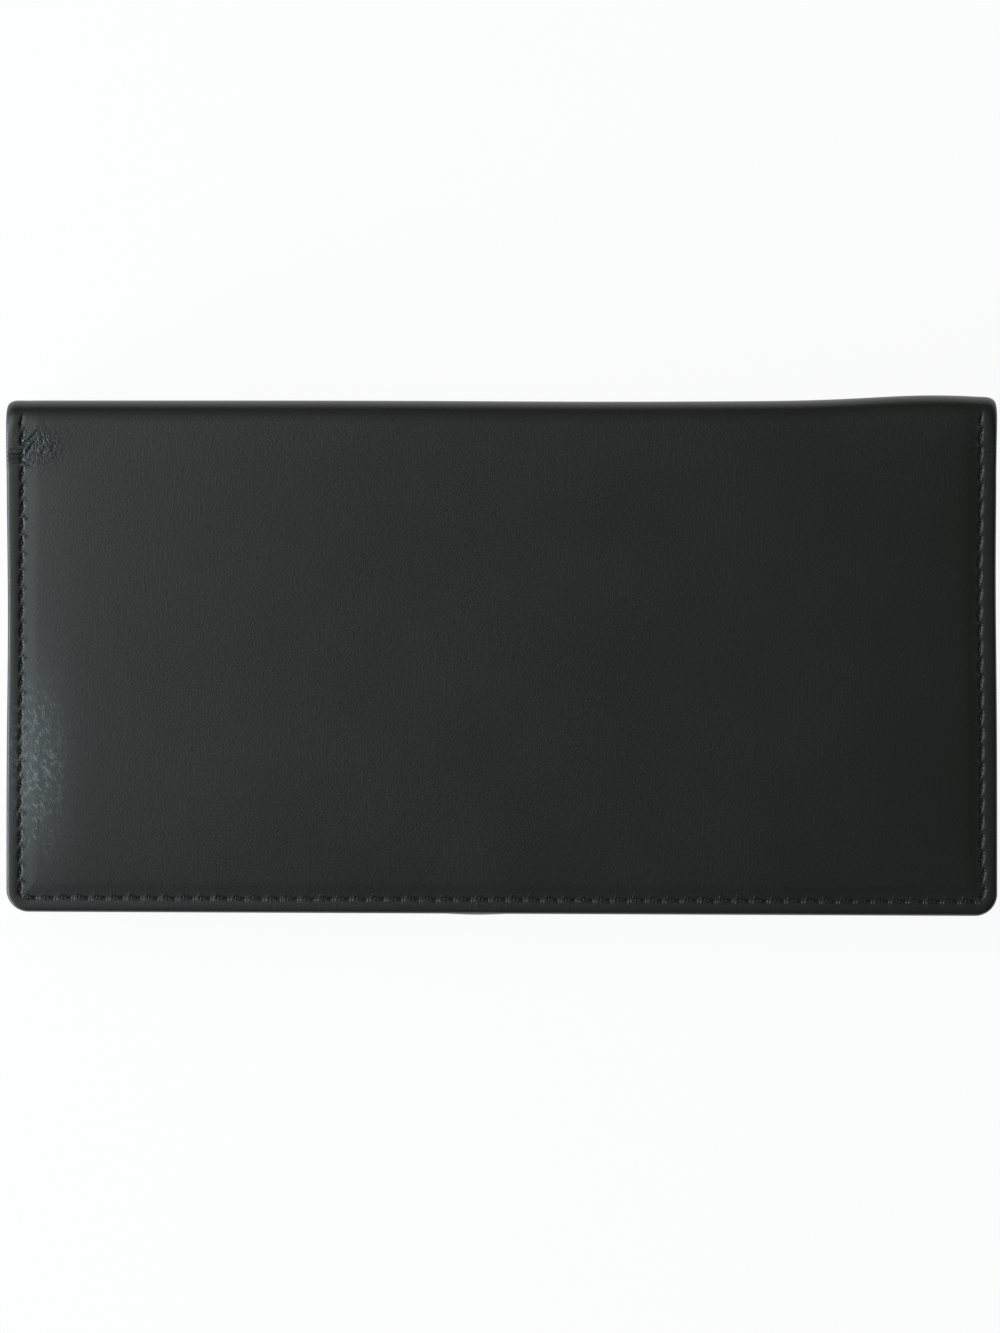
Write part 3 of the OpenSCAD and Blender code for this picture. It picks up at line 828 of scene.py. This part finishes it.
leatherGrain = buildLeatherGrain()
stitchPress = buildStitchPress()
crinkle = buildCrinkle()
scratches = buildScratches()
weave = buildWeave()

# The paler leather colour below is for wear and the grain's streaks, and for the painted sheen on the front's
# scuffed patch
leather = {
    "black": (0.0094, 0.0101, 0.0085),
    "worn": (0.073, 0.078, 0.082),
    "scuffed": (0.17, 0.175, 0.18),
    "roughness": 0.385,
}


def coverLeatherMaterial():
    m = Material("coverLeather", leather["black"], leather["roughness"])
    flat = m.flat()
    grain = m.group(leatherGrain, Vector=flat, Cell=0.34, Cells=0.30, Pores=0.8, Streaks=0.6)
    scuffAndSheen, wear, pinch, pull = (m.mask(name) for name in ("scuffAndSheen", "wear", "pinch", "seamPull"))
    steep = m.group(scratches, Vector=flat, Angle=-0.42, Width=0.10, Length=1.25, Amount=0.74)["Mask"]
    slant = m.group(scratches, Vector=flat, Angle=-0.80, Width=0.09, Length=1.0, Amount=0.68)["Mask"]
    scratch = steep.math("MAXIMUM", slant) * scuffAndSheen**1.6
    aside = m.mask("seamIn") - seam["inset"]
    press = m.group(stitchPress, Aside=aside, Along=m.mask("seamAlong"), Pitch=stitchPitch)
    pinched = pinch**1.5 * 0.13
    wrinkles = pinched * m.group(crinkle, Vector=flat, Size=1.05, Thin=0.24)["Bulge"]
    wrinkles += pinched * 0.5 * m.group(crinkle, Vector=flat, Size=0.5, Thin=0.3)["Bulge"]
    height = scratch * 0.05 + grain["Height"] + wrinkles + press["Height"] * pull
    # Paler where worn, along the grain's streaks and on the scuffed patch, whose paleness is partly painted sheen
    paler = (scuffAndSheen * 0.5).math("ADD", grain["Tone"] * 0.05 + wear * 0.12, clamp=True)
    # The stitches' troughs and holes darken the colour here: painted shade
    color = m.mix(paler * (press["Shade"] * -0.7 + 1.0), leather["black"], leather["worn"])
    color = m.mix(scratch * 0.75, color, leather["scuffed"])
    rough = grain["Cloud"] * 0.08 + (leather["roughness"] - 0.04) + scratch * 0.15
    return m.finish(height, 0.9, Base_Color=color, Roughness=rough)


def pocketLeatherMaterial():
    m = Material("pocketLeather", (0.009, 0.009, 0.009), 0.48)
    grain = m.group(leatherGrain, Vector=m.flat(), Cell=0.5, Cells=0.9, Pores=0.5, Streaks=0.1)
    row = {"Aside": m.mask("rowAside"), "Along": m.mask("rowAlong"), "Pitch": seam["pitch"], "Slant": 0.0}
    height = grain["Height"] + m.group(stitchPress, **row)["Height"]
    color = m.mix(grain["Tone"], (0.008, 0.008, 0.0085), (0.014, 0.014, 0.014))
    return m.finish(height, Base_Color=color, Roughness=grain["Tone"] * 0.15 + 0.44)


def liningMaterial():
    m = Material("liningFabric", (0.012, 0.012, 0.013), 0.85, Sheen_Weight=0.25)
    cloth = m.group(weave, Vector=m.flat(), Pitch=0.38)
    # The cloth's colour is darker in the gaps between its threads: painted shade
    return m.finish(cloth["Height"] * 0.08, Base_Color=m.mix(cloth["Gap"], (0.016, 0.016, 0.018), (0.003,) * 3))


def threadMaterial():
    m = Material("sewingThread", (0.006, 0.006, 0.0065), 0.6, Specular_IOR_Level=0.25)
    along, around = m.split(m.uv())
    twist = (along * 9.0 + around * (4 * math.pi)).math("SINE")
    # The colour is darker in the grooves of the twist: painted shade
    color = m.mix(m.ramp(twist, -1.0, 0.6), (0.003, 0.003, 0.003), (0.009, 0.009, 0.0095))
    return m.finish(twist * 0.03, Base_Color=color)


def tapeMaterial():
    m = Material("bindingTape", (0.012, 0.012, 0.013), 0.75, Sheen_Weight=0.2)
    flat = m.flat()
    rib = abs((m.split(flat)[0] * 5.2).math("SINE"))
    height = rib * 0.09 + m.group(weave, Vector=flat, Pitch=0.2)["Height"] * 0.03
    # The colour is darker in the grooves between the ribs and lighter on their crests: painted shade
    return m.finish(height, Base_Color=m.mix(rib, (0.005, 0.005, 0.005), (0.016, 0.016, 0.017)))


def vinylMaterial():
    m = Material("clearVinyl", (0.86, 0.9, 0.93), 0.16, Transmission_Weight=1.0, IOR=1.45)
    flat = m.flat()
    soft, fine = (m.noise(flat, scale, 2.0)["Fac"] for scale in (0.09, 4.0))
    return m.finish(soft * 0.15 + fine * 0.002, 0.5, Roughness=soft * 0.12 + 0.1)


def boardMaterial():
    m = Material("stiffeningBoard", (0.38, 0.32, 0.25), 0.9)
    where = m.add("ShaderNodeTexCoord")["Object"]
    fibre = m.add("ShaderNodeTexNoise", Vector=where, Scale=900.0, Detail=4.0)["Fac"]
    return m.finish(fibre * 0.05, Base_Color=m.mix(fibre, (0.30, 0.25, 0.19), (0.46, 0.40, 0.31)))


coverLeather = coverLeatherMaterial()
pocketLeather = pocketLeatherMaterial()
liningFabric = liningMaterial()
sewingThread = threadMaterial()
bindingTape = tapeMaterial()
clearVinyl = vinylMaterial()
stiffeningBoard = boardMaterial()
print("materials made")


def finishPiece(piece, material, body=None, nodes=()):
    piece.data.materials.append(material)
    if body:
        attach(piece, body)
    for node in nodes:
        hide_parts(node)


# A piece that runs from a panel over half the fold: its transform is baked into its mesh. The fold's apex and
# the panel's end are worked out but not used, and the piece is not bent between them
def bendOverFold(piece, face):
    flatZ = 2 * foldRadius if face == "front" else 0.0
    apex = (0, (foldY + foldRadius) * mm, foldRadius * mm)
    end = (0, foldY * mm, flatZ * mm)
    start = tuple(between(a, b, 0.16) for a, b in zip(apex, end))  # every layer is still at rest here
    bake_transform(piece)


# Layers lie between the turned edges: layerInset in from the edge, and clear of the hem at insideHalf
layerInset = panelRim + 0.15
layerHalf = halfWidth - layerInset
insideHalf = halfWidth - cover["hemWidth"] - 0.15
backing = {"thickness": 0.1, "gap": 0.01, "clear": 0.15, "belowTurn": 0.5}


# The cloth lining, from the free edge's hem to the middle of the fold, a little loose over the fold
def makeLining(face):
    def depth(x, v):
        loose = 0.05 * smoothStep(v, foldStart - 4, foldStart) * (0.5 + 0.5 * waviness(x, v, 14.0, 3.0))
        return liningFaceAt(v) - cover["lining"] / 2 - loose

    box = (-layerHalf, layerHalf, layerInset, foldTop)
    cloth = makeLayer(f"{face}_lining_cloth", face, box, cover["lining"], depth, step=1.6)
    finishPiece(cloth, liningFabric, nodes=[f"{face}_lining", "spine_lining"])
    bendOverFold(cloth, face)
    size = (2 * layerHalf * mm, (foldTop - layerInset) * mm)


# A pocket: its leather, which thickens to a turned edge at the mouth and gives a little in the
# middle, the cloth that backs it, and the stitches along the mouth
def makePocket(face, name):
    body, line = f"{face}_panel", mouth - pockets["stitchInset"]
    thickness = pockets["leather"] + cover["lining"]

    def depth(x, v):
        middle = smoothStep(halfWidth - np.abs(x), 8.0, 30.0) * smoothStep(v, 6.0, 22.0)
        sag = 0.12 * middle * (0.7 + 0.3 * waviness(x, v, 60.0, 1.0))
        turned = 0.05 * smoothStep(v + pockets["turn"], mouth - 0.5, mouth + 0.5)
        press = 0.1 * bell(v, line, 0.4) * (0.6 + 0.4 * np.cos(2 * math.pi * x / seam["pitch"]))
        edge = bells(v, [(0.07, mouth - 0.9, 0.5), (0.04, mouth - 3.2, 0.7)])
        return pocketTopDepth - thickness / 2 + sag + turned - press + edge

    box = (-layerHalf, layerHalf, layerInset, mouth)
    leatherPiece = makeLayer(
        f"{name}_leather", face, box, thickness, depth, step=0.8, rounded="top", sewn=[(None, line)])
    finishPiece(leatherPiece, pocketLeather, body, [name])

    inset = pockets["turn"] + backing["clear"]
    box = (inset - layerHalf, layerHalf - inset, layerInset + inset, mouth - pockets["turn"] - backing["belowTurn"])
    under = pocketTopDepth - thickness - backing["gap"] - backing["thickness"] / 2
    cloth = makeLayer(f"{name}_backing", face, box, backing["thickness"], lambda x, v: under, step=3.0)
    finishPiece(cloth, liningFabric, body, [f"{name}_lining"])

    row = stitchRow((-insideHalf, line), (insideHalf, line), pocketTopDepth)
    finishPiece(makeStitches(f"{name}_stitches", face, [row]), sewingThread, body, [f"{name}_thread"])


for face, pocketName in (("front", "register_pocket"), ("back", "check_pocket")):
    skin = makeCoverLeather(f"{face}_leather", face)
    finishPiece(skin, coverLeather, nodes=[f"{face}_cover", "spine_cover"])
    bendOverFold(skin, face)
    threads = makeSeam(f"{face}_seam", face)
    finishPiece(threads, sewingThread, nodes=[f"{face}_seam_thread", "spine_seam_thread"])
    bendOverFold(threads, face)
    makeLining(face)
    makePocket(face, pocketName)
print("panels made")

# Card slots on the register pocket, from the fold down: each is a strip whose mouth is a rounded
# edge; all but the first lie over the one above and then come down to the pocket in a ramp
cards = {
    "names": ["card_slot_upper", "card_slot_middle", "card_slot_lower"],
    "width": 91.5,
    "first": 4.2,
    "step": 8.5,
    "leather": 0.5,
    "gap": 0.15,
    "ramp": 0.8,
    "stitchInset": 1.6,
    "foot": cover["hemWidth"] + 0.15,
}
cardLeft, cardRight = -insideHalf, cards["width"] - insideHalf
cardSeams = (cardLeft + cards["stitchInset"], cardRight - cards["stitchInset"])
cardOverlap = cards["step"] - cards["ramp"] - 0.3
cardMouths = [mouth - cards["first"] - i * cards["step"] for i in range(3)]
cardRaise = [0.0] + [cards["leather"] + cards["gap"]] * 2


def makeCardSlot(i, name):
    top = cardMouths[i]
    foot = cards["foot"] if i == 2 else cardMouths[i + 1] - cardOverlap
    stepDown = top - cardOverlap - 0.15

    def depth(x, v):
        high = smoothStep(v, stepDown - cards["ramp"] * 1.6, stepDown + 0.1)
        side = bell(x, cardSeams[0], 0.4) + bell(x, cardSeams[1], 0.4)
        press = 0.11 * np.minimum(1.0, side + bell(v, top - cards["stitchInset"], 0.4))
        slack = 0.10 * smoothStep(x - cardLeft, 3, 16) * smoothStep(cardRight - x, 3, 16)
        bow = slack * bell(v, top, 6.0) * (0.8 + 0.2 * waviness(x, v, 50.0, float(i)))
        lift = press - bow - 0.04 * bell(v, top - 0.6, 0.4)
        return pocketTopDepth + cards["leather"] / 2 + cardRaise[i] * high - lift

    box = (cardLeft, cardRight, foot, top)
    piece = makeLayer(f"{name}_leather", "front", box, cards["leather"], depth, step=0.7, rounded="left right top")
    finishPiece(piece, pocketLeather, "front_panel", [name])


cardRows = []
for i, name in enumerate(cards["names"]):
    makeCardSlot(i, name)
    topDepth = pocketTopDepth + cards["leather"] + cardRaise[i]
    line = cardMouths[i] - cards["stitchInset"]
    seenFoot = cardMouths[i + 1] if i < 2 else cardMouths[i] - cardOverlap
    cardRows.append(stitchRow((cardSeams[0], line), (cardSeams[1], line), topDepth))
    cardRows += [stitchRow((x, line - 0.8), (x, seenFoot + 0.6), topDepth) for x in cardSeams]
belowRamp = cardMouths[2] - cardOverlap - 1.6
for x in cardSeams:
    cardRows.append(stitchRow((x, belowRamp), (x, cards["foot"] + 0.6), pocketTopDepth + cards["leather"]))
cardStitches = makeStitches("card_slot_stitches", "front", cardRows)
finishPiece(cardStitches, sewingThread, "front_panel", ["card_slot_thread"])
print("card slots made")

# The divider: a clear sheet held in a folded tape beside the check pocket's mouth
divider = {
    "half": float(flapHigh[0]),
    "foot": float(flapLow[1]) - freeY,
    "top": float(flapHigh[1]) - freeY,
    "sheet": 0.35,
    "cornerRadius": 5.0,
    "over": float(flapHigh[2]) - 0.175,  # height of the sheet's middle where it lies over the pocket
    "root": liningDepth + 0.6 + 0.175,
    "held": 2.0,  # how far the sheet reaches into the tape
    "bend": 4.0,  # length of the sheet that bends as it turns
}
tape = {
    "foot": float(bindingLow[1]) - freeY,
    "top": float(bindingHigh[1]) - freeY,
    "thickness": float(bindingHigh[2] - bindingLow[2]),
}


# Share of the full half width left at height v, so that the free corners are quarter circles
def flapPlan(v):
    r = divider["cornerRadius"]
    under = np.clip(divider["foot"] + r - v, 0, r)
    return 1 - (r - np.sqrt(np.clip(r * r - under * under, 0, None))) / divider["half"]


# The sheet comes up from its tape over the pocket's mouth, sways gently and lifts a little at its lip
def flapDepth(x, v):
    settled = between(divider["over"], divider["root"], smoothStep(v, mouth - 0.6, divider["top"] + 0.3))
    sway = 0.10 * waviness(x, v, 75.0, 0.5) * smoothStep(mouth - v, 6, 20)
    lip = 0.5 * smoothStep(divider["foot"] + 22 - v, 0, 22) * (0.6 + 0.4 * waviness(x, v, 120.0, 1.7))
    return settled + sway + lip


half = divider["half"]
allRound = "left right foot top"
box = (-half, half, divider["foot"], tape["foot"] + divider["held"])
flap = makeLayer(
    "divider_sheet", "back", box, divider["sheet"], flapDepth, step=1.4, rounded=allRound, plan=flapPlan)
finishPiece(flap, clearVinyl, nodes=["divider_flap"])
bendY = float(flapHigh[1])
(bendY - divider["bend"]) * mm
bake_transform(flap)

box = (-half, half, tape["foot"], tape["top"])
tapeDepth = liningDepth + tape["thickness"] / 2
binding = makeLayer(
    "divider_tape", "back", box, tape["thickness"], lambda x, v: tapeDepth, step=0.5, rounded=allRound)
finishPiece(binding, bindingTape, "back_panel", ["divider_binding"])
line = (tape["foot"] + tape["top"]) / 2
row = stitchRow((1 - half, line), (half - 1, line), liningDepth + tape["thickness"])
tapeStitches = makeStitches("divider_stitches", "back", [row])
finishPiece(tapeStitches, sewingThread, "back_panel", ["divider_binding_thread"])
print("divider made")

for nodeName in ("back_stiffener", "front_stiffener"):
    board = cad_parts[nodeName]
    board.data.materials.clear()
    board.data.materials.append(stiffeningBoard)

# Stage, light and camera, in metres and degrees
studio = {
    "floor": (0.93, 0.93, 0.93),
    "floorReach": 6.0,
    "floorBelow": 0.00002,  # so that the back's face doesn't lie in the floor
    "floorShown": 0.93,  # share of plain white that the camera sees in the floor
    "world": 0.07,
    "sky": (0.98, 1.0, 0.97),
    "cameraHeight": 0.60,
    # tilt from upright, turn from +X, distance, width and height, radiance, color
    "lamps": {
        "ceiling": (30, 90, 1.6, (1.6, 2.6), 0.14, (0.95, 1.0, 0.86)),
        "windowLeft": (43, 167, 1.3, (1.1, 1.3), 2.7, (0.88, 0.97, 0.97)),
        "windowHigh": (45, 122, 1.3, (0.6, 0.5), 0.7, (0.88, 0.97, 1.0)),
        "windowLow": (80, 196, 1.3, (1.3, 0.32), 23.0, (0.70, 0.88, 1.0)),
    },
}


# A plain floor. What the camera and reflections see of it is mostly even paper white, the rest is lit
# and keeps the shadow. Seen from below it is left out.
def makeFloor():
    reach, z = studio["floorReach"], -studio["floorBelow"]
    corners = [(-reach, -reach, z), (reach, -reach, z), (reach, reach, z), (-reach, reach, z)]
    mesh = bpy.data.meshes.new("floor")
    mesh.from_pydata(corners, [], [(0, 1, 2, 3)])
    floor = bpy.data.objects.new("floor", mesh)
    bpy.context.scene.collection.objects.link(floor)
    m = Material("paleFloor", studio["floor"], 0.9, Specular_IOR_Level=0.1)
    rays = m.add("ShaderNodeLightPath")
    seen = rays["Is Camera Ray"].math("MAXIMUM", rays["Is Glossy Ray"]).math("MAXIMUM", rays["Is Transmission Ray"])
    paper = m.add("ShaderNodeEmission", Strength=1.0)[0]
    mixed = m.mixShaders(seen * studio["floorShown"], m.shader[0], paper)
    below = m.add("ShaderNodeNewGeometry")["Backfacing"]
    sided = m.mixShaders(below, mixed, m.add("ShaderNodeBsdfTransparent")[0])
    Step(m.tree.nodes["Material Output"]).set(Surface=sided)
    mesh.materials.append(m.material)


# A dim world that the camera, and glass, see as white
def makeWorld():
    world = bpy.data.worlds.new("studio")
    bpy.context.scene.world = world
    world.use_nodes = True
    rays = Tree(world.node_tree).add("ShaderNodeLightPath")
    seen = rays["Is Camera Ray"].math("MAXIMUM", rays["Is Transmission Ray"])
    strength = seen * (1.0 - studio["world"]) + studio["world"]
    Step(world.node_tree.nodes["Background"]).set(Color=studio["sky"], Strength=strength)


# A rectangular lamp that faces the origin. Its energy follows from its radiance, pi and its area.
def makeLamp(name, tilt, turn, distance, size, radiance, color):
    data = bpy.data.lights.new(name, "AREA")
    data.shape = "RECTANGLE"
    data.size, data.size_y = size
    data.energy = radiance * math.pi * size[0] * size[1]
    data.color = color
    lamp = bpy.data.objects.new(name, data)
    bpy.context.scene.collection.objects.link(lamp)
    a, b = math.radians(tilt), math.radians(turn)
    place = Vector((math.sin(a) * math.cos(b), math.sin(a) * math.sin(b), math.cos(a))) * distance
    lamp.location = place
    lamp.rotation_euler = place.to_track_quat("Z", "Y").to_euler()
    lamp.visible_camera = False


makeFloor()
makeWorld()
for lampName, values in studio["lamps"].items():
    makeLamp(lampName, *values)

# The camera looks straight down, and is placed so that the cover falls on the photograph's pixels
photo = {"width": 1000, "height": 1333, "pixelsPerMm": 5.779, "middleX": 502.0, "middleY": 656.9}
cameraData = bpy.data.cameras.new("camera")
cameraData.sensor_fit = "HORIZONTAL"
cameraData.sensor_width = 36.0
cameraData.lens = 36.0 * photo["pixelsPerMm"] * studio["cameraHeight"] / mm / photo["width"]
camera = bpy.data.objects.new("camera", cameraData)
bpy.context.scene.collection.objects.link(camera)
outlineHeight = (cover["thickness"] - panelRim) * mm  # where the sides are widest
right = (photo["width"] / 2 - photo["middleX"]) / photo["pixelsPerMm"] * mm
up = (photo["middleY"] - photo["height"] / 2) / photo["pixelsPerMm"] * mm
camera.location = (right, up, outlineHeight + studio["cameraHeight"])
bpy.context.scene.camera = camera
bpy.context.scene.view_settings.view_transform = "Standard"
